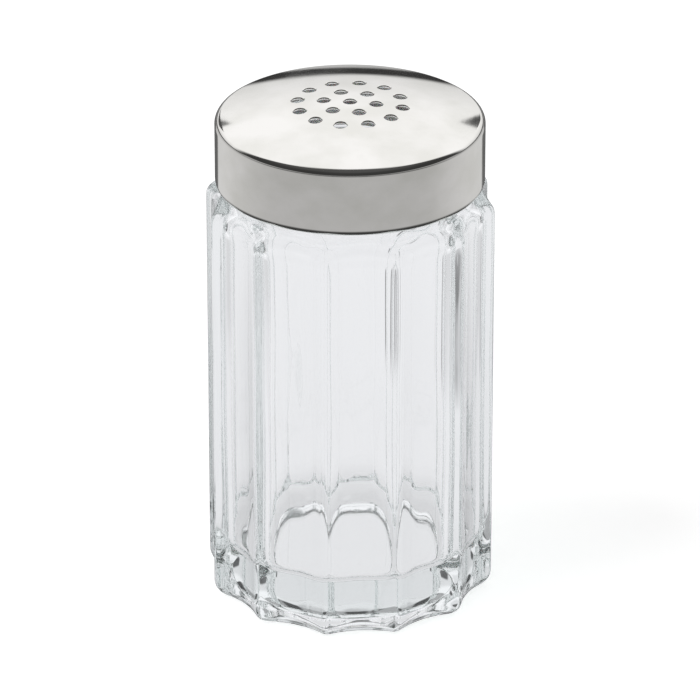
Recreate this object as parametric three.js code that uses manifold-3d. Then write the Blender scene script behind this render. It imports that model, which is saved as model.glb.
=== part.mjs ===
// A fluted glass spice shaker with a screw-on perforated steel cap.
// Sizes are in millimetres and +Z is up. The origin is the centre of the face that the jar stands on.
import * as THREE from 'three';
import { mergeVertices } from 'three/addons/utils/BufferGeometryUtils.js';
import Module from 'manifold-3d';

// Jar neck. The other radii of the jar and its lid follow the neck.
const neckRadius = 16.95;
const neckHeight = 8;
const neckWall = 2.7;
const neckFilletRadius = 0.8; // between shoulder and neck
const lipRadius = 1; // rounds both edges of the rim

// Jar body
const fluteCount = 12;
const shoulderWidth = 3.65; // from the neck out to the middle of a flute
const fluteCurveRadius = 17; // of the hollow arc that a flute follows
const ribEdgeRadius = 1.3; // rounds the rib between two flutes
const heelRadius = 3; // rounds the foot of the wall
const bearingWidth = 3.4; // flat ring that the jar stands on, at a flute's middle
const baseRecessDepth = 1;
const baseRecessBevel = 1.2; // width of the slope around the recess
const shoulderHeight = 66.4; // where the shoulder meets the neck
const shoulderSlopeDegrees = 18;
const shoulderEdgeRadius = 2; // rounds the top end of ribs and flutes

// Jar inside
const bodyWall = 2.6; // at the middle of a flute
const floorThickness = 8.3;
const floorCornerRadius = 2;
const cavityTopDrop = 1.9; // from the foot of the neck down to the end of the inner shoulder

// Screw thread, one start, right-handed
const threadLead = 3.5;
const threadHeight = 1.4;
const threadCrestWidth = 0.9;
const threadFlankGap = 0.34; // along the axis, between the two threads
const threadCrown = 0.15; // rise of the crest's middle over its edges
const threadMargin = 0.2; // plain wall beyond each end of a thread
const threadSink = 0.4; // depth of the ridge's foot inside the wall that carries it
const threadRunOutDegrees = 50; // each end fades out over this angle

// Lid
const runningGap = 0.3; // between pieces that meet
const capWall = 0.4;
const capEdgeRadius = 1.2; // rounds the skirt into the dome
const domeRadius = 83;
const skirtClearance = 0.7; // from the foot of the neck up to the skirt's lowest edge
const curlInnerRadius = 0.05; // of the bend at the skirt's lowest edge
const curlReach = 1.3; // how far that edge turns in under the insert
const holeRadius = 1;
const holePitch = 4; // from one ring of holes to the next
const holesPerStep = 6; // a ring holds this many holes for each step out from the centre
const holeRings = 2;
const insertWall = 1;
const insertFlangeThickness = 1.1;
const insertMouthStep = 0.8; // how far the insert's mouth is smaller than the jar's
const sealThickness = 1;
const sealBevel = 0.25;

// Fineness of the faceted skins
const roundSteps = 64;
const arcSteps = 4;
const smallArcSteps = 2;
const domeSteps = 5;
const threadStepsPerTurn = 40;
const holeSteps = 14;
const ribStationShares = [0, 0.5]; // of the rib's rounding, from its crest out
const fluteStationShares = [0, 0.5]; // of the hollow, from the rib's rounding to the middle
const cutOverrun = 2; // how far a cutting body reaches past the face that it opens

const quarterTurn = Math.PI / 2;
const fullTurn = Math.PI * 2;
const halfPitch = Math.PI / fluteCount;
const shoulderSlope = THREE.MathUtils.degToRad(shoulderSlopeDegrees);
const threadRunOut = THREE.MathUtils.degToRad(threadRunOutDegrees);
const jarHeight = shoulderHeight + neckHeight;
const boreRadius = neckRadius - neckWall;
const fluteFloorRadius = neckRadius + shoulderWidth; // from the axis to the middle of a flute
const cavityRadius = fluteFloorRadius - bodyWall;
const baseRecessRadius = fluteFloorRadius - heelRadius - bearingWidth;

// Each crest meets the other thread's flank at runningGap over its foot.
const crestGapShare = runningGap / threadHeight;
const threadWidths = threadLead - 2 * threadFlankGap;
const threadCrestPart = threadCrestWidth * (1 + crestGapShare);
const threadRootWidth = (threadWidths - threadCrestPart) / (1 - crestGapShare);

const manifold = await Module();
manifold.setup();

// Turns a three.js geometry into a solid that can be joined and cut.
function toSolid(geometry) {
  const plain = geometry.clone();
  plain.deleteAttribute('normal');
  plain.deleteAttribute('uv');
  const merged = mergeVertices(plain);
  const index = merged.index.array;
  const corners = [];
  for (let i = 0; i < index.length; i += 3) {
    const [a, b, c] = index.subarray(i, i + 3);
    const isFace = a !== b && b !== c && c !== a;
    if (isFace) corners.push(a, b, c);
  }
  const mesh = new manifold.Mesh({
    numProp: 3,
    vertProperties: merged.attributes.position.array,
    triVerts: new Uint32Array(corners),
  });
  return new manifold.Manifold(mesh);
}

// Turns a solid back into a three.js geometry.
function toGeometry(solid) {
  const mesh = solid.getMesh();
  const geometry = new THREE.BufferGeometry();
  geometry.setAttribute('position', new THREE.BufferAttribute(mesh.vertProperties, 3));
  geometry.setIndex(new THREE.BufferAttribute(mesh.triVerts, 1));
  geometry.computeVertexNormals();
  return geometry;
}

// The points of an arc in a radius and height plane, both ends included.
function arc(centreRadius, centreHeight, radius, fromAngle, toAngle, steps) {
  const points = [];
  for (let i = 0; i <= steps; i += 1) {
    const angle = fromAngle + ((toAngle - fromAngle) * i) / steps;
    const x = centreRadius + radius * Math.cos(angle);
    const y = centreHeight + radius * Math.sin(angle);
    points.push(new THREE.Vector2(x, y));
  }
  return points;
}

// Turns a profile of radius and height about the Z axis.
function revolve(profile) {
  return toSolid(new THREE.LatheGeometry(profile, roundSteps).rotateX(quarterTurn));
}

// Covers a row of rings, each with the same number of points, and closes both ends with a fan.
function skinOverRings(rings) {
  const count = rings[0].length;
  const last = rings.length - 1;
  const centres = [rings[0], rings[last]].map((ring) => {
    const sum = ring.reduce((total, point) => total.add(point), new THREE.Vector3());
    return sum.divideScalar(count);
  });
  const points = [...rings.flat(), ...centres];
  const startCentre = rings.length * count;
  const endCentre = startCentre + 1;
  const index = [];
  for (let j = 0; j < count; j += 1) {
    const next = (j + 1) % count;
    for (let i = 0; i < last; i += 1) {
      const [near, far] = [i * count, (i + 1) * count];
      index.push(near + j, near + next, far + next);
      index.push(near + j, far + next, far + j);
    }
    index.push(startCentre, next, j);
    index.push(endCentre, last * count + j, last * count + next);
  }
  const geometry = new THREE.BufferGeometry().setFromPoints(points);
  geometry.setIndex(index);
  return toSolid(geometry);
}

// A rib's rounding: the distance of its centre from the axis, and half the angle that it spans.
function ribRounding() {
  const fluteCentre = fluteFloorRadius + fluteCurveRadius;
  const across = fluteCentre * Math.sin(halfPitch);
  const reach = fluteCurveRadius + ribEdgeRadius;
  const along = Math.sqrt(reach ** 2 - across ** 2);
  const centre = fluteCentre * Math.cos(halfPitch) - along;
  const touchAlong = centre + (ribEdgeRadius * along) / reach;
  const touchAcross = (ribEdgeRadius * across) / reach;
  return { centre, halfAngle: Math.atan2(touchAcross, touchAlong) };
}

// The wall's distance from the axis at an angle counted from a rib's crest.
function wallRadius(fromRib) {
  const rib = ribRounding();
  if (fromRib <= rib.halfAngle) {
    const across = rib.centre * Math.sin(fromRib);
    return rib.centre * Math.cos(fromRib) + Math.sqrt(ribEdgeRadius ** 2 - across ** 2);
  }
  const fluteCentre = fluteFloorRadius + fluteCurveRadius;
  const fromMiddle = halfPitch - fromRib;
  const across = fluteCentre * Math.sin(fromMiddle);
  return fluteCentre * Math.cos(fromMiddle) - Math.sqrt(fluteCurveRadius ** 2 - across ** 2);
}

// The angles around the jar at which its wall is drawn, each with the angle to the nearest rib.
function wallStations() {
  const { halfAngle } = ribRounding();
  const onRib = ribStationShares.map((share) => share * halfAngle);
  const onFlute = fluteStationShares.map((share) => halfAngle + share * (halfPitch - halfAngle));
  const half = [...onRib, ...onFlute];
  const stations = [];
  for (let k = 0; k < fluteCount; k += 1) {
    const rib = k * 2 * halfPitch;
    const nextRib = rib + 2 * halfPitch;
    const before = half.map((fromRib) => ({ angle: rib + fromRib, fromRib }));
    const middle = { angle: rib + halfPitch, fromRib: halfPitch };
    const after = half.slice(1).reverse().map((fromRib) => ({ angle: nextRib - fromRib, fromRib }));
    stations.push(...before, middle, ...after);
  }
  return stations;
}

// The jar's outer profile, foot to rim, where its wall stands at the given radius.
function jarProfile(wall) {
  const shoulderTurn = quarterTurn - shoulderSlope;
  const touchShare = Math.tan(shoulderTurn / 2);
  const shoulderAtWall = shoulderHeight - (wall - neckRadius) * Math.tan(shoulderSlope);
  const shoulderArcRadius = wall - shoulderEdgeRadius;
  const shoulderArcHeight = shoulderAtWall - shoulderEdgeRadius * touchShare;
  const neckArcHeight = shoulderHeight + neckFilletRadius * touchShare;
  const neckArcRadius = neckRadius + neckFilletRadius;
  const neckArcStart = shoulderTurn - Math.PI;
  const lipHeight = jarHeight - lipRadius;
  return [
    new THREE.Vector2(baseRecessRadius - baseRecessBevel, baseRecessDepth),
    new THREE.Vector2(baseRecessRadius, 0),
    ...arc(wall - heelRadius, heelRadius, heelRadius, -quarterTurn, 0, arcSteps),
    ...arc(shoulderArcRadius, shoulderArcHeight, shoulderEdgeRadius, 0, shoulderTurn, arcSteps),
    ...arc(neckArcRadius, neckArcHeight, neckFilletRadius, neckArcStart, -Math.PI, smallArcSteps),
    ...arc(neckRadius - lipRadius, lipHeight, lipRadius, 0, quarterTurn, smallArcSteps),
  ];
}

// The solid block of the jar before it is hollowed out.
function jarBlock() {
  const stations = wallStations();
  const profiles = stations.map(({ fromRib }) => jarProfile(wallRadius(fromRib)));
  const rings = profiles[0].map((unused, level) =>
    stations.map(({ angle }, station) => {
      const { x: radius, y: height } = profiles[station][level];
      return new THREE.Vector3(radius * Math.cos(angle), radius * Math.sin(angle), height);
    }),
  );
  return skinOverRings(rings);
}

// The space inside the jar, cut out of the block up through the mouth.
function jarCavity() {
  const shoulderDrop = cavityRadius - boreRadius;
  const shoulderStart = shoulderHeight - cavityTopDrop - shoulderDrop;
  const cornerCentre = cavityRadius - floorCornerRadius;
  const cornerHeight = floorThickness + floorCornerRadius;
  const lipCentre = boreRadius + lipRadius;
  const topHeight = jarHeight + cutOverrun;
  return revolve([
    new THREE.Vector2(0, floorThickness),
    ...arc(cornerCentre, cornerHeight, floorCornerRadius, -quarterTurn, 0, arcSteps),
    ...arc(boreRadius, shoulderStart, shoulderDrop, 0, quarterTurn, arcSteps),
    ...arc(lipCentre, jarHeight - lipRadius, lipRadius, Math.PI, quarterTurn, smallArcSteps),
    new THREE.Vector2(lipCentre, topHeight),
    new THREE.Vector2(0, topHeight),
  ]);
}

// How far a thread's ridge stands out at an angle along it: 0 at its ends, 1 along its full part.
function runOutShare(along, length) {
  const fromEnd = Math.min(along, length - along, threadRunOut);
  return Math.sin((quarterTurn * fromEnd) / threadRunOut);
}

// A helical ridge on a round wall. Its crest lies outside the wall on a neck and inside it in a cap.
function threadRidge({ wall, crest, startHeight, turns, startAngle }) {
  const side = Math.sign(crest - wall);
  const buried = wall - side * threadSink;
  const length = turns * fullTurn;
  const steps = Math.ceil(turns * threadStepsPerTurn);
  const rings = [];
  for (let i = 0; i <= steps; i += 1) {
    const along = (length * i) / steps;
    const share = runOutShare(along, length);
    const top = THREE.MathUtils.lerp(wall - (side * threadSink) / 2, crest, share);
    const edge = top - side * threadCrown;
    const outline = [
      [buried, threadRootWidth / 2],
      [edge, threadCrestWidth / 2],
      [top, 0],
      [edge, -threadCrestWidth / 2],
      [buried, -threadRootWidth / 2],
    ];
    const angle = startAngle + along;
    const height = startHeight + (threadLead * along) / fullTurn;
    const ring = outline.map(([radius, rise]) =>
      new THREE.Vector3(radius * Math.cos(angle), radius * Math.sin(angle), height + rise),
    );
    rings.push(side > 0 ? ring : ring.reverse());
  }
  return skinOverRings(rings);
}

// The neck's thread, between its fillet and the rim's rounding.
function neckThread() {
  const room = threadRootWidth / 2 + threadMargin;
  const startHeight = shoulderHeight + neckFilletRadius + room;
  const endHeight = jarHeight - lipRadius - room;
  const turns = (endHeight - startHeight) / threadLead;
  return { wall: neckRadius, crest: neckRadius + threadHeight, startHeight, turns, startAngle: 0 };
}

function glassJar() {
  return jarBlock().add(threadRidge(neckThread())).subtract(jarCavity());
}

// Heights in the lid are counted from the jar's rim, and its radii follow the neck and the shell.
const sealBottom = runningGap;
const flangeBottom = sealBottom + sealThickness + runningGap;
const insertTop = flangeBottom + insertFlangeThickness;
const insertInnerRadius = neckRadius + threadHeight + runningGap;
const insertOuterRadius = insertInnerRadius + insertWall;
const insertMouthRadius = boreRadius - insertMouthStep;
const insertCornerRadius = capEdgeRadius - capWall - runningGap;
const capRadius = insertOuterRadius + runningGap + capWall;
const edgeHeight = insertTop - insertCornerRadius; // of the centre of the cap's rounded edge
const edgeCentreRadius = capRadius - capEdgeRadius;
const skirtBottom = skirtClearance - neckHeight;
const insertBottom = skirtBottom + capWall + runningGap;
const sealInnerRadius = boreRadius + runningGap;
const sealOuterRadius = insertInnerRadius - runningGap;

// The dome and the rounded edge, outward from the axis, at a depth under the cap's outer face.
function domeArcs(depth) {
  const domeAngle = Math.asin(edgeCentreRadius / (domeRadius - capEdgeRadius));
  const domeCentre = edgeHeight - (domeRadius - capEdgeRadius) * Math.cos(domeAngle);
  const edgeStart = quarterTurn - domeAngle;
  const dome = arc(0, domeCentre, domeRadius - depth, quarterTurn, edgeStart, domeSteps);
  const edge = arc(edgeCentreRadius, edgeHeight, capEdgeRadius - depth, edgeStart, 0, arcSteps);
  return [new THREE.Vector2(0, dome[0].y), ...dome.slice(1), ...edge.slice(1)];
}

// The drawn sheet: dome, skirt and the curl that turns in under the insert.
function capShell() {
  const inner = domeArcs(capWall);
  const outer = domeArcs(0).reverse();
  const curlRadius = curlInnerRadius + capWall;
  const curlCentreRadius = capRadius - curlRadius;
  const curlHeight = skirtBottom + curlRadius;
  const lipRadiusInside = capRadius - curlReach;
  return revolve([
    ...inner,
    ...arc(curlCentreRadius, curlHeight, curlInnerRadius, 0, -quarterTurn, smallArcSteps),
    new THREE.Vector2(lipRadiusInside, skirtBottom + capWall),
    new THREE.Vector2(lipRadiusInside, skirtBottom),
    ...arc(curlCentreRadius, curlHeight, curlRadius, -quarterTurn, 0, smallArcSteps),
    ...outer,
  ]);
}

// One shaker hole's cutting body, straight through the dome.
function holeCutter(x, y) {
  const domeRise = domeArcs(0)[0].y - insertTop;
  const height = domeRise + cutOverrun;
  const cutter = new THREE.CylinderGeometry(holeRadius, holeRadius, height, holeSteps);
  return toSolid(cutter.rotateX(quarterTurn).translate(x, y, insertTop + height / 2));
}

// A hole in the middle and rings of holes around it.
function shakerHoles() {
  let holes = holeCutter(0, 0);
  for (let ring = 1; ring <= holeRings; ring += 1) {
    const count = ring * holesPerStep;
    for (let i = 0; i < count; i += 1) {
      const angle = (fullTurn * i) / count;
      const distance = ring * holePitch;
      holes = holes.add(holeCutter(distance * Math.cos(angle), distance * Math.sin(angle)));
    }
  }
  return holes;
}

function steelCap() {
  return capShell().subtract(shakerHoles());
}

// The insert's thread lies half a lead under the neck's, so the two run in each other's grooves.
function insertThread() {
  const room = threadRootWidth / 2 + threadMargin;
  const neck = neckThread();
  const startHeight = insertBottom + room;
  const turns = (-room - startHeight) / threadLead;
  const neckStart = neck.startHeight - jarHeight;
  const startAngle = (fullTurn * (startHeight - neckStart + threadLead / 2)) / threadLead;
  return { wall: insertInnerRadius, crest: neckRadius + runningGap, startHeight, turns, startAngle };
}

function threadedInsert() {
  const cornerCentre = insertOuterRadius - insertCornerRadius;
  const ring = revolve([
    new THREE.Vector2(insertInnerRadius, insertBottom),
    new THREE.Vector2(insertOuterRadius, insertBottom),
    ...arc(cornerCentre, edgeHeight, insertCornerRadius, 0, quarterTurn, smallArcSteps),
    new THREE.Vector2(insertMouthRadius, insertTop),
    new THREE.Vector2(insertMouthRadius, flangeBottom),
    new THREE.Vector2(insertInnerRadius, flangeBottom),
    new THREE.Vector2(insertInnerRadius, insertBottom),
  ]);
  return ring.add(threadRidge(insertThread()));
}

function sealingRing() {
  const sealTop = sealBottom + sealThickness;
  return revolve([
    new THREE.Vector2(sealInnerRadius, sealBottom),
    new THREE.Vector2(sealOuterRadius - sealBevel, sealBottom),
    new THREE.Vector2(sealOuterRadius, sealBottom + sealBevel),
    new THREE.Vector2(sealOuterRadius, sealTop - sealBevel),
    new THREE.Vector2(sealOuterRadius - sealBevel, sealTop),
    new THREE.Vector2(sealInnerRadius, sealTop),
    new THREE.Vector2(sealInnerRadius, sealBottom),
  ]);
}

// A named piece with its own colour and finish.
function piece(name, solid, finish) {
  const mesh = new THREE.Mesh(toGeometry(solid), new THREE.MeshStandardMaterial(finish));
  mesh.name = name;
  return mesh;
}

const lid = new THREE.Group();
lid.position.z = jarHeight;
lid.add(
  piece('steel_cap', steelCap(), { color: 0xcdcbc8, roughness: 0.12, metalness: 1 }),
  piece('threaded_insert', threadedInsert(), { color: 0xf1f1ee, roughness: 0.45, metalness: 0 }),
  piece('sealing_ring', sealingRing(), { color: 0xe4e6e2, roughness: 0.7, metalness: 0 }),
);

const shaker = new THREE.Group();
shaker.add(
  piece('glass_jar', glassJar(), { color: 0xdfe7e5, roughness: 0.05, metalness: 0 }),
  lid,
);

export default shaker;
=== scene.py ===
import math

import bpy
import numpy as np
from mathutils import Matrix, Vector
from mathutils.geometry import delaunay_2d_cdt


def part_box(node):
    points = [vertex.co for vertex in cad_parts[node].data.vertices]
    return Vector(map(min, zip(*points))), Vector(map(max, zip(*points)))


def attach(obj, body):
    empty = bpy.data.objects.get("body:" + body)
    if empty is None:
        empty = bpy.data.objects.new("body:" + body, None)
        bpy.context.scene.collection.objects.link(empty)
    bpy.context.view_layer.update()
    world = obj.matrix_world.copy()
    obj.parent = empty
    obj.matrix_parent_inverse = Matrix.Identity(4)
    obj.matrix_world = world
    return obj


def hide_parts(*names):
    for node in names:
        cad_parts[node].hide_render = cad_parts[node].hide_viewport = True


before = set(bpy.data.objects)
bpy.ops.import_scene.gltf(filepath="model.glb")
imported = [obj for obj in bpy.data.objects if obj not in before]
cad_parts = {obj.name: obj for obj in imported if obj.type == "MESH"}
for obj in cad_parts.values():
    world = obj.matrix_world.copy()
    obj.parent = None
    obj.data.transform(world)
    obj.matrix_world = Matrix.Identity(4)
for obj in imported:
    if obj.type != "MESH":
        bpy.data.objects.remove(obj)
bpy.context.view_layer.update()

# Lengths are in metres, and the shaker's own are written as a number of millimetres times MM.
MM = 0.001
TURN = 2 * math.pi
QUARTER = math.pi / 2

# Read from the frame: the jar's height, and the low and high corners of the other nodes' boxes
JAR_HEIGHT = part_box("glass_jar")[1].z
CAP_LOW, CAP_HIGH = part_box("steel_cap")
INSERT_LOW, INSERT_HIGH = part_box("threaded_insert")
SEAL_LOW, SEAL_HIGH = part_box("sealing_ring")

# Jar
FLUTE_COUNT = 12
HALF_PITCH = math.pi / FLUTE_COUNT
FLUTE_FLOOR_RADIUS = 20.6 * MM
FLUTE_CURVE_RADIUS = 17 * MM
RIB_EDGE_RADIUS = 1.3 * MM
HEEL_RADIUS = 3 * MM
RECESS_RADIUS = 14.2 * MM
RECESS_DEPTH = 1 * MM
RECESS_BEVEL = 0.7 * MM
SHOULDER_HEIGHT = 66.4 * MM
SHOULDER_SLOPE = math.radians(18)
SHOULDER_EDGE_RADIUS = 2 * MM
NECK_RADIUS = 16.95 * MM
NECK_FILLET_RADIUS = 0.8 * MM
LIP_RADIUS = 1 * MM
CAVITY_RADIUS = 18 * MM
FLOOR_THICKNESS = 8.3 * MM
FLOOR_CORNER_RADIUS = 2 * MM
BORE_RADIUS = 14.25 * MM
CAVITY_TOP = SHOULDER_HEIGHT - 1.9 * MM

# Unevenness of the jar's inside: how far it follows the ribs, and slow waves, each with its share
# of the depth, its count around the jar, its twist up the jar and its phase in radians
RIB_FOLLOW = 0.35 * MM
RIPPLE_DEPTH = 0.12 * MM
RIPPLES = ((0.45, 3, 7.1, 0.4), (0.30, 5, -11.3, 2.1), (0.25, 8, 17.7, 4.2))

# Thread
THREAD_LEAD = 3.5 * MM
THREAD_HEIGHT = 1.4 * MM
THREAD_ROOT_WIDTH = 2.2 * MM
THREAD_CREST_WIDTH = 0.9 * MM
THREAD_MARGIN = 0.2 * MM
THREAD_RUN_OUT = math.radians(50)
THREAD_ROOM = THREAD_ROOT_WIDTH / 2 + THREAD_MARGIN

# Lid
GAP = 0.3 * MM
CAP_RADIUS = 20.35 * MM
CAP_WALL = 0.4 * MM
CAP_EDGE_RADIUS = 1.2 * MM
DOME_RADIUS = 83 * MM
CURL_INNER_RADIUS = 0.05 * MM
CURL_REACH = 1.3 * MM
TURN_IN_HEIGHT = 0.9 * MM
HOLE_RADIUS = 1 * MM
HOLE_ROLL = 0.16 * MM
HOLE_PITCH = 4 * MM
HOLE_RINGS = 2
HOLES_PER_RING = 6  # in the first ring, and as many more in each ring after it
INSERT_MOUTH_RADIUS = BORE_RADIUS - 0.8 * MM
INSERT_EDGE_RADIUS = 0.2 * MM
SEAL_EDGE_RADIUS = 0.25 * MM

# Worked out for the cap: the height of the dome's centre, the angle there between the axis and
# the dome's rim, and the circle that the edge's rounding is centred on
EDGE_CENTRE_RADIUS = CAP_RADIUS - CAP_EDGE_RADIUS
DOME_ANGLE = math.asin(EDGE_CENTRE_RADIUS / (DOME_RADIUS - CAP_EDGE_RADIUS))
DOME_CENTRE = CAP_HIGH.z - DOME_RADIUS
EDGE_HEIGHT = DOME_CENTRE + (DOME_RADIUS - CAP_EDGE_RADIUS) * math.cos(DOME_ANGLE)

# Fineness of the meshes: steps along a curve, points around a ring, and rings up a threaded wall
RIB_STEPS = 5
FLUTE_STEPS = 11
NECK_RINGS = 62
CAP_POINTS = 288
HOLE_POINTS = 36
HOLE_ROLL_STEPS = 4
DOME_STEP = 0.6 * MM
FEWEST_DOME_POINTS = 8
TURN_IN_STEPS = 16
INSERT_POINTS = 384
INSERT_RINGS = 73
SEAL_POINTS = 192
SAME_PLACE = 1e-7  # two points this close would be one

# Finishes
GLASS_INDEX = 1.52
GLASS_TINT = (0.50, 0.66, 0.63, 1)
GLASS_SHADOW = (0.86, 0.90, 0.89, 1)
STEEL_DULL = (0.83, 0.82, 0.785, 1)
STEEL_CLEAN = (0.94, 0.925, 0.905, 1)
PLASTIC_WHITE = (0.86, 0.86, 0.84, 1)
FOAM_CELL = (0.66, 0.67, 0.65, 1)
FOAM_SKIN = (0.82, 0.82, 0.79, 1)
WHITE = (1, 1, 1, 1)
COOL_WHITE = (1, 1.005, 1.03, 1)

# Floor
FLOOR_COLOUR = (0.80, 0.80, 0.80, 1)
FLOOR_LIFT = 0.56  # light of its own, which makes it white to the camera
FLOOR_HALF_WIDTH = 4.0
FLOOR_DROP = 0.02 * MM

# Camera, as fitted to the lid's ellipses and the rib ends
VIEW_AZIMUTH = math.radians(10.2)
VIEW_ELEVATION = math.radians(25.8)
VIEW_DISTANCE = 0.915
VIEW_FOCAL_SHARE = 5993 / 700  # focal length over the frame's width
SENSOR_WIDTH = 36  # millimetres, as Blender counts it
AIM_HEIGHT = 38.7 * MM


# Helpers for meshes


def arc(centre_r, centre_z, radius, start, end, steps):
    """Points of an arc in a radius and height plane, both ends included."""
    angles = np.linspace(start, end, steps + 1)
    return [(centre_r + radius * math.cos(a), centre_z + radius * math.sin(a)) for a in angles]


def line(start, end, steps):
    """Points from start to end, without either of them."""
    shares = np.linspace(0, 1, steps + 1)[1:-1]
    run, rise = end[0] - start[0], end[1] - start[1]
    return [(start[0] + run * share, start[1] + rise * share) for share in shares]


def new_object(name, verts, faces):
    mesh = bpy.data.meshes.new(name)
    mesh.from_pydata([tuple(v) for v in verts], [], faces)
    mesh.validate()
    mesh.shade_smooth()
    obj = bpy.data.objects.new(name, mesh)
    bpy.context.scene.collection.objects.link(obj)
    return obj


def band_faces(lower, upper, count):
    """Quads between two rings that start at these indices, facing outward where the ring rises."""
    faces = []
    for j in range(count):
        k = (j + 1) % count
        faces.append((lower + j, lower + k, upper + k, upper + j))
    return faces


def ring_object(name, radii, heights, angles, closed):
    """A skin over rings, from arrays of ring by angle. It closes on itself, or on the axis."""
    rings, count = radii.shape
    x = radii * np.cos(angles)
    y = radii * np.sin(angles)
    verts = np.stack([x, y, heights], axis=2).reshape(-1, 3).tolist()
    faces = []
    for i in range(rings - 1):
        faces += band_faces(i * count, (i + 1) * count, count)
    if closed:
        faces += band_faces((rings - 1) * count, 0, count)
    else:
        first, last = len(verts), len(verts) + 1
        verts += [(0, 0, float(heights[0].mean())), (0, 0, float(heights[-1].mean()))]
        top = (rings - 1) * count
        for j in range(count):
            k = (j + 1) % count
            faces.append((first, k, j))
            faces.append((last, top + j, top + k))
    return new_object(name, verts, faces)


def joined(upper, lower):
    """Quads between two loops of vertex indices."""
    count = len(upper)
    return [(upper[j], upper[(j + 1) % count], lower[(j + 1) % count], lower[j]) for j in range(count)]


def even_angles(count):
    return np.arange(count) * TURN / count


def circle(centre, radius, count):
    x, y = centre
    return [(x + radius * math.cos(a), y + radius * math.sin(a)) for a in even_angles(count)]


def thread_height(angles, height, start, end, start_angle):
    """How far a thread's ridge stands out of its wall, as a share, at these angles and one height."""
    length = TURN * (end - start) / THREAD_LEAD
    flank_width = (THREAD_ROOT_WIDTH - THREAD_CREST_WIDTH) / 2
    share = np.zeros_like(angles)
    for turn in range(math.ceil(length / TURN) + 1):
        along = (angles - start_angle) % TURN + turn * TURN
        centre = start + THREAD_LEAD * along / TURN
        flank = (THREAD_ROOT_WIDTH / 2 - np.abs(height - centre)) / flank_width
        flank = np.clip(flank, 0, 1)
        flank = flank * flank * (3 - 2 * flank)
        from_end = np.clip(np.minimum(along, length - along) / THREAD_RUN_OUT, 0, 1)
        share = np.maximum(share, flank * np.sin(QUARTER * from_end))
    return share


# The glass jar


def rib_rounding():
    """A rib's rounding: its centre's distance from the axis, and half the angle that it spans."""
    flute_centre = FLUTE_FLOOR_RADIUS + FLUTE_CURVE_RADIUS
    across = flute_centre * math.sin(HALF_PITCH)
    reach = FLUTE_CURVE_RADIUS + RIB_EDGE_RADIUS
    along = math.sqrt(reach**2 - across**2)
    centre = flute_centre * math.cos(HALF_PITCH) - along
    touch = (RIB_EDGE_RADIUS * across / reach, centre + RIB_EDGE_RADIUS * along / reach)
    return centre, math.atan2(*touch)


def wall_radius(from_rib):
    """The wall's distance from the axis at an angle counted from a rib's crest."""
    centre, half_angle = rib_rounding()
    if from_rib <= half_angle:
        across = centre * math.sin(from_rib)
        return centre * math.cos(from_rib) + math.sqrt(RIB_EDGE_RADIUS**2 - across**2)
    flute_centre = FLUTE_FLOOR_RADIUS + FLUTE_CURVE_RADIUS
    from_middle = HALF_PITCH - from_rib
    across = flute_centre * math.sin(from_middle)
    return flute_centre * math.cos(from_middle) - math.sqrt(FLUTE_CURVE_RADIUS**2 - across**2)


def wall_stations():
    """Angles around the jar, closest together on the ribs, and the wall's radius at each."""
    half_angle = rib_rounding()[1]
    rib = np.linspace(0, half_angle, RIB_STEPS + 1)
    flute = np.linspace(half_angle, HALF_PITCH, FLUTE_STEPS + 1)
    half = [*rib[:-1], *flute]
    angles, radii = [], []
    for k in range(FLUTE_COUNT):
        crest = k * 2 * HALF_PITCH
        for from_rib in half[:-1]:
            angles.append(crest + from_rib)
            radii.append(wall_radius(from_rib))
        for from_rib in half[:0:-1]:
            angles.append(crest + 2 * HALF_PITCH - from_rib)
            radii.append(wall_radius(from_rib))
    return np.array(angles), np.array(radii)


def recess_profile():
    """The recess under the jar: its ceiling, and a bevel that is eased at both ends.

    A point of the bevel is placed by shares of the bevel's width and of the recess's depth.
    """
    ceiling = [(RECESS_RADIUS * share, RECESS_DEPTH) for share in (0.35, 0.7)]
    eased = ((1.25, 1), (1, 0.93), (0.5, 0.5), (0.08, 0.04), (0, 0))
    bevel = [(RECESS_RADIUS - RECESS_BEVEL * back, RECESS_DEPTH * up) for back, up in eased]
    return ceiling + bevel


def outer_profile(wall):
    """The jar's outside from the recess under it up to the foot of the neck."""
    turn = QUARTER - SHOULDER_SLOPE
    touch = math.tan(turn / 2)
    shoulder_at_wall = SHOULDER_HEIGHT - (wall - NECK_RADIUS) * math.tan(SHOULDER_SLOPE)
    shoulder = arc(
        wall - SHOULDER_EDGE_RADIUS,
        shoulder_at_wall - SHOULDER_EDGE_RADIUS * touch,
        SHOULDER_EDGE_RADIUS,
        0,
        turn,
        steps=12,
    )
    fillet = arc(
        NECK_RADIUS + NECK_FILLET_RADIUS,
        SHOULDER_HEIGHT + NECK_FILLET_RADIUS * touch,
        NECK_FILLET_RADIUS,
        turn - math.pi,
        -math.pi,
        steps=8,
    )
    recess = recess_profile()
    heel = arc(wall - HEEL_RADIUS, HEEL_RADIUS, HEEL_RADIUS, -QUARTER, 0, steps=12)
    return [
        *recess,
        *line(recess[-1], heel[0], steps=3),
        *heel,
        *line(heel[-1], shoulder[0], steps=40),
        *shoulder,
        *line(shoulder[-1], fillet[0], steps=5),
        *fillet,
    ]


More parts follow.
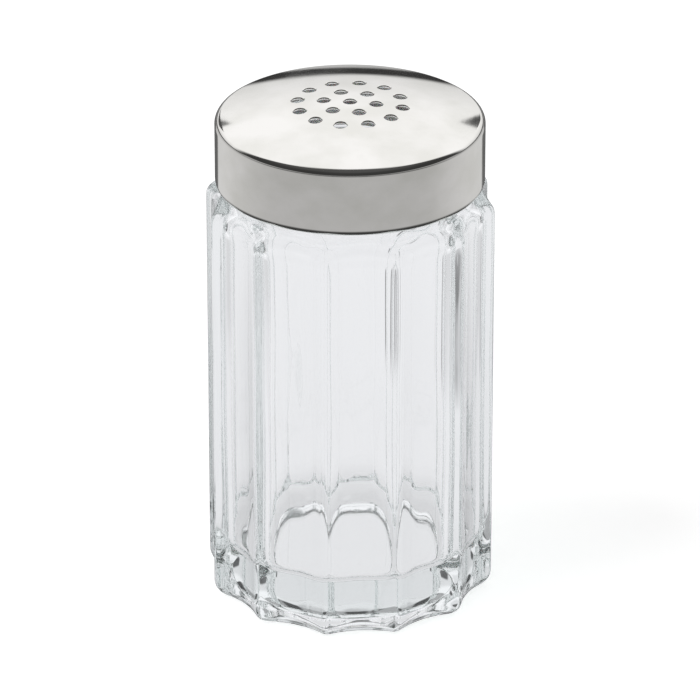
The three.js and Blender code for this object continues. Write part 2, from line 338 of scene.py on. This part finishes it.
def inner_profile():
    """The jar's inside from the rim's inner rounding down to the floor."""
    drop = CAVITY_RADIUS - BORE_RADIUS
    lip_centre = (BORE_RADIUS + LIP_RADIUS, JAR_HEIGHT - LIP_RADIUS)
    lip = arc(*lip_centre, LIP_RADIUS, QUARTER, math.pi, steps=8)
    shoulder = arc(BORE_RADIUS, CAVITY_TOP - drop, drop, QUARTER, 0, steps=14)
    corner = arc(
        CAVITY_RADIUS - FLOOR_CORNER_RADIUS,
        FLOOR_THICKNESS + FLOOR_CORNER_RADIUS,
        FLOOR_CORNER_RADIUS,
        0,
        -QUARTER,
        steps=10,
    )
    return [
        *lip,
        *line(lip[-1], shoulder[0], steps=4),
        *shoulder,
        *line(shoulder[-1], corner[0], steps=40),
        *corner,
        *line(corner[-1], (0, FLOOR_THICKNESS), steps=7),
    ]


def unevenness(angles, height):
    """How far the inside of the pressed glass lies off its profile, around one height."""
    up = height / JAR_HEIGHT
    waves = sum(
        share * np.sin(around * angles + twist * up + phase) for share, around, twist, phase in RIPPLES
    )
    return RIPPLE_DEPTH * waves + RIB_FOLLOW * np.cos(FLUTE_COUNT * angles)


def glass_jar():
    """The jar as one skin, from the recess up the outside, over the rim and down the inside."""
    angles, walls = wall_stations()
    profiles = np.array([outer_profile(wall) for wall in walls])
    radii = list(profiles[:, :, 0].T)
    heights = list(profiles[:, :, 1].T)
    neck_start = SHOULDER_HEIGHT + NECK_FILLET_RADIUS
    neck_end = JAR_HEIGHT - LIP_RADIUS
    for z in np.linspace(neck_start, neck_end, NECK_RINGS):
        ridge = thread_height(angles, z, neck_start + THREAD_ROOM, neck_end - THREAD_ROOM, 0)
        radii.append(NECK_RADIUS + THREAD_HEIGHT * ridge)
        heights.append(np.full_like(angles, z))
    lip = arc(NECK_RADIUS - LIP_RADIUS, neck_end, LIP_RADIUS, 0, QUARTER, steps=8)
    for r, z in lip[1:] + inner_profile():
        ring = np.full_like(angles, r)
        if r > BORE_RADIUS and z < CAVITY_TOP:
            ring += unevenness(angles, z)
        radii.append(ring)
        heights.append(np.full_like(angles, z))
    return ring_object("jar_glass", np.array(radii), np.array(heights), angles, closed=False)


# The steel cap


def hole_centres():
    """A hole in the middle, and rings of holes around it."""
    centres = [(0.0, 0.0)]
    for ring in range(1, HOLE_RINGS + 1):
        centres += circle((0, 0), ring * HOLE_PITCH, ring * HOLES_PER_RING)
    return centres


def dome_plan(edge_radius):
    """A flat triangulation of the dome with its holes left out: points, triangles and hole loops.

    A collar of points keeps the triangles around a hole even, and the others stay clear of it.
    """
    centres = hole_centres()
    loop_radius = HOLE_RADIUS + HOLE_ROLL
    collar_radius = loop_radius * 1.18
    clear_radius = loop_radius * 1.4
    just_inside = loop_radius * 0.995

    points = circle((0, 0), edge_radius, CAP_POINTS)
    loops = []
    edges = [(i, (i + 1) % CAP_POINTS) for i in range(CAP_POINTS)]
    for centre in centres:
        start = len(points)
        points += circle(centre, loop_radius, HOLE_POINTS)
        loop = list(range(start, start + HOLE_POINTS))
        loops.append(loop)
        edges += list(zip(loop, loop[1:] + loop[:1]))
        points += circle(centre, collar_radius, HOLE_POINTS)
    for i in range(1, int(edge_radius / DOME_STEP)):
        radius = i * DOME_STEP
        count = max(FEWEST_DOME_POINTS, round(TURN * radius / DOME_STEP))
        for x, y in circle((0, 0), radius, count):
            if all(math.hypot(x - cx, y - cy) > clear_radius for cx, cy in centres):
                points.append((x, y))

    vectors = [Vector(p) for p in points]
    flat, _, triangles, *_ = delaunay_2d_cdt(vectors, edges, [], 0, SAME_PLACE)
    if len(flat) != len(points):
        raise RuntimeError("the dome's points were merged")
    solid = []
    for triangle in triangles:
        mid = sum((flat[i] for i in triangle), Vector((0, 0))) / 3
        if all(math.hypot(mid.x - cx, mid.y - cy) > just_inside for cx, cy in centres):
            solid.append(tuple(triangle))
    return points, solid, loops


def dome_height(x, y, depth):
    """The height of the dome's outside, or of the surface at a depth below it."""
    radius = DOME_RADIUS - depth
    return DOME_CENTRE + math.sqrt(radius**2 - x**2 - y**2)


def hole_wall():
    """The rings down a hole, rounded where the punch went in and came out.

    Each ring has its radius, the depth of the surface that it starts from, and its drop below it.
    """
    rounding = []
    for step in range(1, HOLE_ROLL_STEPS + 1):
        turn = QUARTER * step / HOLE_ROLL_STEPS
        radius = HOLE_RADIUS + HOLE_ROLL * (1 - math.sin(turn))
        rounding.append((radius, HOLE_ROLL * (1 - math.cos(turn))))
    outer = [(radius, 0, drop) for radius, drop in rounding]
    inner = [(radius, CAP_WALL, -drop) for radius, drop in reversed(rounding)]
    return outer + inner


def skirt_profile():
    """The cap's section from the dome's rim over the edge, down, round the hem and back up inside."""
    start_angle = QUARTER - DOME_ANGLE
    edge_centre = (EDGE_CENTRE_RADIUS, EDGE_HEIGHT)
    curl_radius = CURL_INNER_RADIUS + CAP_WALL
    curl = (CAP_RADIUS - curl_radius, CAP_LOW.z + curl_radius)
    turn_in = [
        (curl[0] + curl_radius * math.cos(a), CAP_LOW.z + TURN_IN_HEIGHT * (1 - math.sin(a)))
        for a in np.linspace(0, QUARTER, TURN_IN_STEPS + 1)
    ]
    hem_radius = CAP_WALL / 2
    hem_centre = (CAP_RADIUS - CURL_REACH + hem_radius, CAP_LOW.z + hem_radius)
    hem = arc(*hem_centre, hem_radius, -QUARTER, -3 * QUARTER, steps=6)
    outer_edge = arc(*edge_centre, CAP_EDGE_RADIUS, start_angle, 0, steps=20)
    inner_curl = arc(*curl, CURL_INNER_RADIUS, -QUARTER, 0, steps=4)
    inner_edge = arc(*edge_centre, CAP_EDGE_RADIUS - CAP_WALL, 0, start_angle, steps=12)
    return [
        *outer_edge[1:],
        *line(outer_edge[-1], turn_in[0], steps=12),
        *turn_in,
        *hem,
        *inner_curl,
        *line(inner_curl[-1], inner_edge[0], steps=8),
        *inner_edge[:-1],
    ]


def steel_cap():
    """The perforated dome, outside and inside, the holes' walls and the skirt, as one closed skin."""
    points, triangles, loops = dome_plan(DOME_RADIUS * math.sin(DOME_ANGLE))
    count = len(points)
    inner_scale = (DOME_RADIUS - CAP_WALL) / DOME_RADIUS
    inner_points = [(x * inner_scale, y * inner_scale) for x, y in points]
    verts = [(x, y, dome_height(x, y, 0)) for x, y in points]
    verts += [(x, y, dome_height(x, y, CAP_WALL)) for x, y in inner_points]
    normals = [Vector((x, y, z - DOME_CENTRE)).normalized() for x, y, z in verts]
    normals = normals[:count] + [-n for n in normals[count:]]
    faces = list(triangles) + [tuple(i + count for i in reversed(t)) for t in triangles]

    # The holes' walls, from the outside of the dome to its inside
    for loop, centre in zip(loops, hole_centres()):
        previous = loop
        for radius, depth, drop in hole_wall():
            start = len(verts)
            around = circle(centre, radius, HOLE_POINTS)
            verts += [(x, y, dome_height(x, y, depth) - drop) for x, y in around]
            ring = list(range(start, start + HOLE_POINTS))
            faces += joined(previous, ring)
            previous = ring
        faces += joined(previous, [i + count for i in loop])

    # The skirt, from the dome's outer rim down and up again to its inner rim
    previous = 0
    angles = even_angles(CAP_POINTS)
    for r, z in skirt_profile():
        start = len(verts)
        verts += [(r * math.cos(a), r * math.sin(a), z) for a in angles]
        faces += band_faces(start, previous, CAP_POINTS)
        previous = start
    faces += band_faces(count, previous, CAP_POINTS)

    # A zero normal leaves a vertex to Blender's own smooth shading
    normals += [Vector((0, 0, 0))] * (len(verts) - len(normals))
    cap = new_object("cap_shell", verts, faces)
    cap.data.normals_split_custom_set_from_vertices(normals)
    return cap


# The insert and the seal


def threaded_insert():
    """The moulded ring: the outside up, the flange in, and the threaded wall down."""
    soft = INSERT_EDGE_RADIUS
    outer_radius = INSERT_HIGH.x
    inner_radius = NECK_RADIUS + THREAD_HEIGHT + GAP
    bottom, top = INSERT_LOW.z, INSERT_HIGH.z
    flange_bottom = SEAL_HIGH.z + GAP
    mouth = INSERT_MOUTH_RADIUS + soft
    corner = CAP_EDGE_RADIUS - CAP_WALL - GAP
    angles = even_angles(INSERT_POINTS)
    outside = [
        *arc(outer_radius - soft, bottom + soft, soft, -QUARTER, 0, steps=4),
        *arc(outer_radius - corner, top - corner, corner, 0, QUARTER, steps=8),
        *arc(mouth, top - soft, soft, QUARTER, math.pi, steps=4),
        *arc(mouth, flange_bottom + soft, soft, math.pi, 3 * QUARTER, steps=4),
    ]
    root_corner = arc(inner_radius - soft, flange_bottom - soft, soft, QUARTER, 0, steps=4)
    lower_edge = arc(inner_radius + soft, bottom + soft, soft, math.pi, 3 * QUARTER, steps=4)

    start, end = bottom + THREAD_ROOM, JAR_HEIGHT - THREAD_ROOM
    neck_thread_start = SHOULDER_HEIGHT + NECK_FILLET_RADIUS + THREAD_ROOM
    start_angle = TURN * (start - neck_thread_start + THREAD_LEAD / 2) / THREAD_LEAD
    crest = inner_radius - NECK_RADIUS - GAP
    wall = []
    for z in np.linspace(flange_bottom - soft, bottom + soft, INSERT_RINGS + 1)[1:]:
        ridge = thread_height(angles, z, start, end, start_angle)
        wall.append((inner_radius - crest * ridge, z))

    rings = [*outside, *root_corner, *wall, *lower_edge[1:]]
    radii = np.array([np.broadcast_to(r, angles.shape) for r, z in rings])
    heights = np.array([np.full_like(angles, z) for r, z in rings])
    return ring_object("insert_ring", radii, heights, angles, closed=True)


def sealing_ring():
    """The flat washer with rounded edges."""
    soft = SEAL_EDGE_RADIUS
    inner, outer = BORE_RADIUS + GAP + soft, SEAL_HIGH.x - soft
    low, high = SEAL_LOW.z + soft, SEAL_HIGH.z - soft
    profile = [
        *arc(outer, low, soft, -QUARTER, 0, steps=5),
        *arc(outer, high, soft, 0, QUARTER, steps=5),
        *line((outer, SEAL_HIGH.z), (inner, SEAL_HIGH.z), steps=4),
        *arc(inner, high, soft, QUARTER, math.pi, steps=5),
        *arc(inner, low, soft, math.pi, 3 * QUARTER, steps=5),
        *line((inner, SEAL_LOW.z), (outer, SEAL_LOW.z), steps=4),
    ]
    radii = np.array([[r] * SEAL_POINTS for r, z in profile])
    heights = np.array([[z] * SEAL_POINTS for r, z in profile])
    return ring_object("seal_washer", radii, heights, even_angles(SEAL_POINTS), closed=True)


# Helpers for materials and the world

RISING = (0, 1)
FALLING = (1, 0)


class Graph:
    """The node tree of a material or of the world, with short ways to add what they share."""

    def __init__(self, owner):
        owner.use_nodes = True
        self.nodes = owner.node_tree.nodes
        self.links = owner.node_tree.links
        self.nodes.clear()

    def feed(self, socket, value):
        """Links an input to another node's output, or sets it to a plain value."""
        if isinstance(value, bpy.types.NodeSocket):
            self.links.new(value, socket)
        else:
            socket.default_value = value

    def add(self, kind, inputs=None, **properties):
        """A shader node with its properties set and its inputs fed, by name or by place."""
        node = self.nodes.new("ShaderNode" + kind)
        for key, value in properties.items():
            setattr(node, key, value)
        for key, value in (inputs or {}).items():
            self.feed(node.inputs[key], value)
        return node

    def math(self, operation, *values):
        return self.add("Math", dict(enumerate(values)), operation=operation).outputs[0]

    def product(self, first, *others):
        result = first
        for other in others:
            result = self.math("MULTIPLY", result, other)
        return result

    def blend(self, share, start, end):
        """start where the share is 0 and end where it is 1."""
        return self.math("MULTIPLY_ADD", share, self.math("SUBTRACT", end, start), start)

    def ease(self, value, span, levels=RISING):
        """A soft change from one level to another while the value crosses a span."""
        ends = {"From Min": span[0], "From Max": span[1], "To Min": levels[0], "To Max": levels[1]}
        node = self.add("MapRange", {"Value": value, **ends}, interpolation_type="SMOOTHSTEP")
        return node.outputs["Result"]

    def between(self, value, low, high, soft):
        """1 from low to high, and falling to 0 over a soft edge outside them."""
        rise = self.ease(value, (low - soft, low))
        fall = self.ease(value, (high, high + soft), FALLING)
        return self.product(rise, fall)

    def noise(self, scale, detail=3.0, squeeze=(1, 1, 1)):
        """Noise in the object's own space, squeezed along its axes."""
        place = self.add("TexCoord").outputs["Object"]
        mapped = self.add("Mapping", {"Vector": place, "Scale": squeeze}).outputs["Vector"]
        texture = self.add("TexNoise", {"Vector": mapped, "Scale": scale, "Detail": detail})
        return texture.outputs["Fac"]

    def ramp(self, value, low, high):
        """A colour that goes from one stop to another, each a position and a colour."""
        node = self.add("ValToRGB", {"Fac": value})
        for element, (position, colour) in zip(node.color_ramp.elements, (low, high)):
            element.position = position
            element.color = colour
        return node.outputs["Color"]

    def bump(self, height, strength, distance):
        node = self.add("Bump", {"Height": height, "Strength": strength, "Distance": distance})
        return node.outputs["Normal"]

    def mix_shaders(self, share, first, second):
        node = self.add("MixShader", {0: share, 1: first.outputs[0], 2: second.outputs[0]})
        return node.outputs[0]


def new_material(name):
    material = bpy.data.materials.new(name)
    return material, Graph(material)


# Materials


def clear_glass():
    """Smooth, faintly uneven glass that tints with its depth and lets lamps through."""
    material, graph = new_material("clear_glass")
    swells = graph.noise(scale=140, detail=2.0)
    glass = graph.add(
        "BsdfPrincipled",
        {
            "Base Color": WHITE,
            "Roughness": 0.0,
            "IOR": GLASS_INDEX,
            "Transmission Weight": 1.0,
            "Normal": graph.bump(swells, strength=0.06, distance=0.4 * MM),
        },
    )
    shadow = graph.add("BsdfTransparent", {"Color": GLASS_SHADOW})
    to_lamp = graph.add("LightPath").outputs["Is Shadow Ray"]
    tint = graph.add("VolumeAbsorption", {"Color": GLASS_TINT, "Density": 4.0})
    surface = graph.mix_shaders(to_lamp, glass, shadow)
    graph.add("OutputMaterial", {"Surface": surface, "Volume": tint.outputs[0]})
    return material


def polished_steel():
    """A mirror with faint clouds, a changing haze and drawing lines round the skirt."""
    material, graph = new_material("polished_steel")
    haze = graph.noise(scale=130, detail=5.0)
    lines = graph.noise(scale=90, detail=6.0, squeeze=(1, 1, 40))
    clouds = graph.noise(scale=120, detail=6.0, squeeze=(1, 1, 1.4))
    steel = graph.add(
        "BsdfPrincipled",
        {
            "Metallic": 1.0,
            "Base Color": graph.ramp(clouds, (0.36, STEEL_DULL), (0.62, STEEL_CLEAN)),
            "Roughness": graph.ease(haze, (0.3, 0.7), (0.03, 0.10)),
            "Normal": graph.bump(lines, strength=0.02, distance=0.1 * MM),
        },
    )
    graph.add("OutputMaterial", {"Surface": steel.outputs[0]})
    return material


def insert_plastic():
    """White moulded plastic with a fine grain."""
    material, graph = new_material("insert_plastic")
    grain = graph.noise(scale=900)
    plastic = graph.add(
        "BsdfPrincipled",
        {
            "Base Color": PLASTIC_WHITE,
            "Subsurface Weight": 0.15,
            "Subsurface Scale": 2 * MM,
            "Roughness": graph.math("MULTIPLY_ADD", grain, 0.15, 0.32),
            "Normal": graph.bump(grain, strength=0.15, distance=0.1 * MM),
        },
    )
    graph.add("OutputMaterial", {"Surface": plastic.outputs[0]})
    return material


def seal_foam():
    """Pale foam with small cells."""
    material, graph = new_material("seal_foam")
    cells = graph.noise(scale=2600)
    foam = graph.add(
        "BsdfPrincipled",
        {
            "Roughness": 0.75,
            "Base Color": graph.ramp(cells, (0, FOAM_CELL), (1, FOAM_SKIN)),
            "Normal": graph.bump(cells, strength=0.4, distance=0.1 * MM),
        },
    )
    graph.add("OutputMaterial", {"Surface": foam.outputs[0]})
    return material


# Surroundings

# Metal and glass each see a studio of their own, worked out from what the photograph shows in them.
# An azimuth is in degrees from straight behind the object, to the right, an elevation is in degrees
# above the horizon, and a reach is in millimetres from the jar's axis along the floor. Where a value
# has two numbers, a soft change starts at one and ends at the other, and its levels are given in the
# same way. Where it has three, they are where something starts and ends, and the width of the soft
# edges outside it. A level of 1 is white.
DIFFUSE_LEVEL = 0.5  # all around, to matt surfaces
DARK = 0.042
MOST_BASE_CROSSINGS = 2.5  # a ray through the base alone crosses its surface twice


def photo_axes(graph, vector):
    """A vector's parts along the photograph's right, its depth and the height."""
    turn = {"Vector": vector, "Angle": -VIEW_AZIMUTH}
    turned = graph.add("VectorRotate", turn, rotation_type="Z_AXIS").outputs["Vector"]
    parts = graph.add("SeparateXYZ", {"Vector": turned}).outputs
    return parts["X"], parts["Y"], parts["Z"]


def azimuth_of(graph, x, y):
    """The azimuth in degrees of a place or direction in the photograph's axes."""
    return graph.math("DEGREES", graph.math("ARCTAN2", x, y))


def through_base(graph, path):
    """1 for rays that run through the thick base and cross no other wall."""
    return graph.math("LESS_THAN", path["Transmission Depth"], MOST_BASE_CROSSINGS)


def cool_in_glass(graph, path):
    """White, and the slightly cool white that glass shows to rays that it lets through."""
    share = path["Is Transmission Ray"]
    return graph.add("MixRGB", {"Fac": share, "Color1": WHITE, "Color2": COOL_WHITE}).outputs["Color"]


# The world in metal
ROOM_TOP_LEVEL = 0.08
ROOM_RISE = (32, 66)
FRONT_LEVELS = (0.40, 0.22)
FRONT_TURN = (95, 170)
FRONT_SIDES = (75, 90)
FRONT_TOP = (3, 9)
HORIZON_LEVEL = 0.5
HORIZON_TOP = (-1.5, 0.5)
BACKDROP_LEVELS = (0.76, 1)
BACKDROP_RISE = (4, 30)
BACKDROP_SIDES = (66, 82)
BACKDROP_TOP = (64, 82)
BACKDROP_FOOT = (4.5, 7.5)
MARK_LEVEL = 0.08
RIGHT_MARK_AZIMUTH = (12.6, 18.4, 0.6)
RIGHT_MARK_ELEVATION = (19, 26, 1)
LEFT_MARK_AZIMUTH = (-30, -13.4, 0.6)
LEFT_MARK_ELEVATION = (15, 25, 1.5)


def world_in_metal(graph, azimuth, elevation):
    """A dark room, lighter low in front, with a light horizon and a bright backdrop.

    On the backdrop are the two dark marks that the dome mirrors at its left and right.
    """
    from_back = graph.math("ABSOLUTE", azimuth)
    room = graph.ease(elevation, ROOM_RISE, (DARK, ROOM_TOP_LEVEL))
    low_in_front = graph.product(
        graph.ease(from_back, FRONT_SIDES),
        graph.ease(elevation, FRONT_TOP, FALLING),
    )
    room = graph.blend(low_in_front, room, graph.ease(from_back, FRONT_TURN, FRONT_LEVELS))
    room = graph.blend(graph.ease(elevation, HORIZON_TOP), HORIZON_LEVEL, room)
    on_backdrop = graph.product(
        graph.ease(from_back, BACKDROP_SIDES, FALLING),
        graph.ease(elevation, BACKDROP_TOP, FALLING),
        graph.ease(elevation, BACKDROP_FOOT),
    )
    seen = graph.blend(on_backdrop, room, graph.ease(elevation, BACKDROP_RISE, BACKDROP_LEVELS))
    right_mark = graph.product(
        graph.between(azimuth, *RIGHT_MARK_AZIMUTH),
        graph.between(elevation, *RIGHT_MARK_ELEVATION),
    )
    left_mark = graph.product(
        graph.between(azimuth, *LEFT_MARK_AZIMUTH),
        graph.between(elevation, *LEFT_MARK_ELEVATION),
    )
    return graph.blend(graph.math("MAXIMUM", left_mark, right_mark), seen, MARK_LEVEL)


# The world in glass
BACK_SIDES = (90, 150)
BACK_TOP = (60, 85)
AROUND_LEVEL = 0.74
BASE_LEVEL = 0.80
BASE_ELEVATION = (10, 28, 5)
PATCH_LEVEL = 0.12
PATCH_AZIMUTH = (18, 34, 5)
PATCH_ELEVATION = (8, 22, 3)


def world_in_glass(graph, azimuth, elevation, base_only):
    """White behind and soft grey in front and overhead.

    Low on the backdrop the base alone shows a dark patch on each side of a paler middle.
    """
    from_back = graph.math("ABSOLUTE", azimuth)
    behind = graph.product(
        graph.ease(from_back, BACK_SIDES, FALLING),
        graph.ease(elevation, BACK_TOP, FALLING),
    )
    seen = graph.blend(behind, AROUND_LEVEL, 1)
    patches = graph.product(
        graph.between(from_back, *PATCH_AZIMUTH),
        graph.between(elevation, *PATCH_ELEVATION),
    )
    low = graph.product(graph.between(elevation, *BASE_ELEVATION), base_only)
    return graph.blend(low, seen, graph.blend(patches, BASE_LEVEL, PATCH_LEVEL))


def studio_world():
    """White to the camera, plain to matt surfaces, and a studio to metal and glass."""
    world = bpy.data.worlds.new("studio")
    bpy.context.scene.world = world
    world.cycles.sampling_method = "NONE"
    graph = Graph(world)
    x, y, z = photo_axes(graph, graph.add("TexCoord").outputs["Generated"])
    azimuth = azimuth_of(graph, x, y)
    elevation = graph.math("DEGREES", graph.math("ARCSINE", z))
    path = graph.add("LightPath").outputs
    in_metal = world_in_metal(graph, azimuth, elevation)
    in_glass = world_in_glass(graph, azimuth, elevation, through_base(graph, path))
    strength = graph.blend(path["Is Glossy Ray"], DIFFUSE_LEVEL, in_metal)
    strength = graph.blend(path["Is Transmission Ray"], strength, in_glass)
    strength = graph.math("MAXIMUM", strength, path["Is Camera Ray"])
    shown = graph.add("Background", {"Color": cool_in_glass(graph, path), "Strength": strength})
    graph.add("OutputWorld", {"Surface": shown.outputs[0]})


# The floor in metal: its level behind the object and in front of it, close by and far off, and
# how the level changes with the reach in front
FLOOR_TURN = (45, 130)
NEAR_BACK_LEVEL = 0.65
NEAR_FRONT_LEVEL = 0.46
FAR_BACK_LEVEL = 0.5
FAR_FRONT_LEVELS = (DARK, 0.24)
FAR_FRONT_RISE = (700, 1600)
NEAR_TO_FAR = (170, 700)
BAND_LEVEL = 0.13
BAND_END = (900, 1800)
LEFT_BAND_AZIMUTH = (-31, -8, 5)
RIGHT_BAND_AZIMUTH = (8, 31, 5)
# painted shadow: where the floor, as metal sees it, turns dark close around the foot
FOOT_SHADOW_END = (82, 156)


def floor_in_metal(graph, azimuth, reach):
    """Light grey, darker in front, with a painted shadow close by and a soft dark band on each side of
    the back.
    """
    in_front = graph.ease(graph.math("ABSOLUTE", azimuth), FLOOR_TURN)
    near = graph.blend(in_front, NEAR_BACK_LEVEL, NEAR_FRONT_LEVEL)
    far_in_front = graph.ease(reach, FAR_FRONT_RISE, FAR_FRONT_LEVELS)
    far = graph.blend(in_front, FAR_BACK_LEVEL, far_in_front)
    seen = graph.blend(graph.ease(reach, NEAR_TO_FAR), near, far)
    left_band = graph.between(azimuth, *LEFT_BAND_AZIMUTH)
    right_band = graph.between(azimuth, *RIGHT_BAND_AZIMUTH)
    bands = graph.math("MAXIMUM", left_band, right_band)
    bands = graph.product(bands, graph.ease(reach, BAND_END, FALLING))
    seen = graph.blend(bands, seen, BAND_LEVEL)
    # Painted shadow: the floor is dark close around the foot
    return graph.blend(graph.ease(reach, FOOT_SHADOW_END, FALLING), seen, DARK)


# The floor in glass: far off, to the sides, in a strip at the right of the back, and the painted shadow
# around and under the jar, in the ring that the jar stands on, and close behind the heel
OPEN_LEVELS = (0.87, 0.98)
OPEN_RISE = (300, 1500)
SIDE_LEVEL = 0.70
SIDE_START = (85, 130)
SIDE_END = (150, 290)
SIDE_TURN = (38, 48)
STRIP_LEVELS = (0.22, 0.62)
STRIP_TURN = (36, 43)
STRIP_START = (72, 92)
STRIP_END = (118, 165)
STRIP_AZIMUTH = (31, 52, 4)
# Painted shadow of the jar on the floor, as glass shows it: greyer under and around the jar
UNDER_SHADOW_LEVEL = 0.79
UNDER_SHADOW_END = (22, 46)
# Painted shadow under the ring that the jar stands on
RING_SHADOW_LEVEL = 0.72
RING_SHADOW_START = (RECESS_RADIUS / MM, RECESS_RADIUS / MM + 1)
RING_SHADOW_END = (19, 23)
# Painted shadow close behind the heel, darkest in the middle
HEEL_SHADOW_LEVEL = 0.42
HEEL_SHADOW_MIDDLE_LEVEL = 0.08
HEEL_SHADOW_MIDDLE_AZIMUTH = (-10, 5, 6)
HEEL_SHADOW_START = (20.5, 22)
HEEL_SHADOW_END = (28, 34)
HEEL_SHADOW_TURN = (40, 60)


def floor_in_glass(graph, azimuth, reach, base_only):
    """Almost white, greyer to the sides, with a painted shadow under the jar and a dark strip at the
    right of the back.

    Close behind the heel the base alone shows a painted shadow, darkest in the middle.
    """
    from_back = graph.math("ABSOLUTE", azimuth)
    seen = graph.ease(reach, OPEN_RISE, OPEN_LEVELS)
    to_the_side = graph.product(
        graph.ease(reach, SIDE_START),
        graph.ease(reach, SIDE_END, FALLING),
        graph.ease(from_back, SIDE_TURN),
    )
    seen = graph.blend(to_the_side, seen, SIDE_LEVEL)
    strip = graph.product(
        graph.ease(reach, STRIP_START),
        graph.ease(reach, STRIP_END, FALLING),
        graph.between(azimuth, *STRIP_AZIMUTH),
    )
    seen = graph.blend(strip, seen, graph.ease(azimuth, STRIP_TURN, STRIP_LEVELS))
    # Painted shadow under and around the jar
    seen = graph.blend(graph.ease(reach, UNDER_SHADOW_END, FALLING), seen, UNDER_SHADOW_LEVEL)
    # Painted shadow under the ring that the jar stands on
    ring_shadow = graph.product(
        graph.ease(reach, RING_SHADOW_START),
        graph.ease(reach, RING_SHADOW_END, FALLING),
    )
    seen = graph.blend(ring_shadow, seen, RING_SHADOW_LEVEL)
    # Painted shadow close behind the heel, seen through the base alone
    heel_shadow = graph.product(
        graph.ease(reach, HEEL_SHADOW_START),
        graph.ease(reach, HEEL_SHADOW_END, FALLING),
        base_only,
        graph.ease(from_back, HEEL_SHADOW_TURN, FALLING),
    )
    middle = graph.between(azimuth, *HEEL_SHADOW_MIDDLE_AZIMUTH)
    return graph.blend(heel_shadow, seen, graph.blend(middle, HEEL_SHADOW_LEVEL, HEEL_SHADOW_MIDDLE_LEVEL))


def floor():
    """A pale floor: white to the camera but for the object's shadow, and toned to metal and glass, with
    painted shadows of the object in them.
    """
    size = FLOOR_HALF_WIDTH
    corners = [(-size, -size, 0), (size, -size, 0), (size, size, 0), (-size, size, 0)]
    ground = new_object("floor", corners, [(0, 1, 2, 3)])
    ground.location.z = -FLOOR_DROP
    material, graph = new_material("floor_pale")
    material.cycles.emission_sampling = "NONE"
    shaded = graph.add("BsdfDiffuse", {"Color": FLOOR_COLOUR})
    lift = graph.add("Emission", {"Strength": FLOOR_LIFT})
    pale = graph.add("AddShader", {0: shaded.outputs[0], 1: lift.outputs[0]})
    x, y, _ = photo_axes(graph, graph.add("TexCoord").outputs["Object"])
    azimuth = azimuth_of(graph, x, y)
    squares = graph.math("MULTIPLY_ADD", x, x, graph.product(y, y))
    reach = graph.math("DIVIDE", graph.math("SQRT", squares), MM)
    path = graph.add("LightPath").outputs
    in_metal = floor_in_metal(graph, azimuth, reach)
    in_glass = floor_in_glass(graph, azimuth, reach, through_base(graph, path))
    level = graph.blend(path["Is Transmission Ray"], in_metal, in_glass)
    plain = graph.add("Emission", {"Color": cool_in_glass(graph, path), "Strength": level})
    surface = graph.mix_shaders(path["Is Glossy Ray"], pale, plain)
    graph.add("OutputMaterial", {"Surface": surface})
    ground.data.materials.append(material)


# Lamp and camera


def lamp(name, place, size, watts):
    """A round, soft lamp that points at the origin and isn't seen in metal or glass."""
    light = bpy.data.lights.new(name, "AREA")
    light.shape = "DISK"
    light.size = size
    light.energy = watts
    obj = bpy.data.objects.new(name, light)
    obj.location = place
    obj.rotation_euler = (-Vector(place)).to_track_quat("-Z", "Y").to_euler()
    bpy.context.scene.collection.objects.link(obj)
    obj.visible_glossy = False
    obj.visible_transmission = False


def camera():
    """The camera that the photograph was taken with, as fitted."""
    data = bpy.data.cameras.new("camera")
    data.sensor_width = SENSOR_WIDTH
    data.lens = VIEW_FOCAL_SHARE * SENSOR_WIDTH
    data.clip_start = 0.05
    data.clip_end = 50
    obj = bpy.data.objects.new("camera", data)
    out = Vector(
        (
            math.sin(VIEW_AZIMUTH) * math.cos(VIEW_ELEVATION),
            -math.cos(VIEW_AZIMUTH) * math.cos(VIEW_ELEVATION),
            math.sin(VIEW_ELEVATION),
        )
    )
    obj.location = Vector((0, 0, AIM_HEIGHT)) + VIEW_DISTANCE * out
    obj.rotation_euler = (-out).to_track_quat("-Z", "Y").to_euler()
    bpy.context.scene.collection.objects.link(obj)
    bpy.context.scene.camera = obj


# Scene


def dress(obj, body, node, material):
    """Puts a piece in the place of a CAD node, on its body and with its finish."""
    obj.data.materials.append(material)
    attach(obj, body)
    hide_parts(node)


camera()
dress(glass_jar(), "jar", "glass_jar", clear_glass())
dress(steel_cap(), "lid", "steel_cap", polished_steel())
dress(threaded_insert(), "lid", "threaded_insert", insert_plastic())
dress(sealing_ring(), "seal", "sealing_ring", seal_foam())
studio_world()
floor()
lamp("key", place=(-0.5, -0.3, 0.9), size=0.5, watts=4.0)
bpy.context.scene.view_settings.view_transform = "Standard"
bpy.context.scene.cycles.max_bounces = 32
bpy.context.scene.cycles.glossy_bounces = 16
bpy.context.scene.cycles.transmission_bounces = 32
bpy.context.scene.cycles.transparent_max_bounces = 16
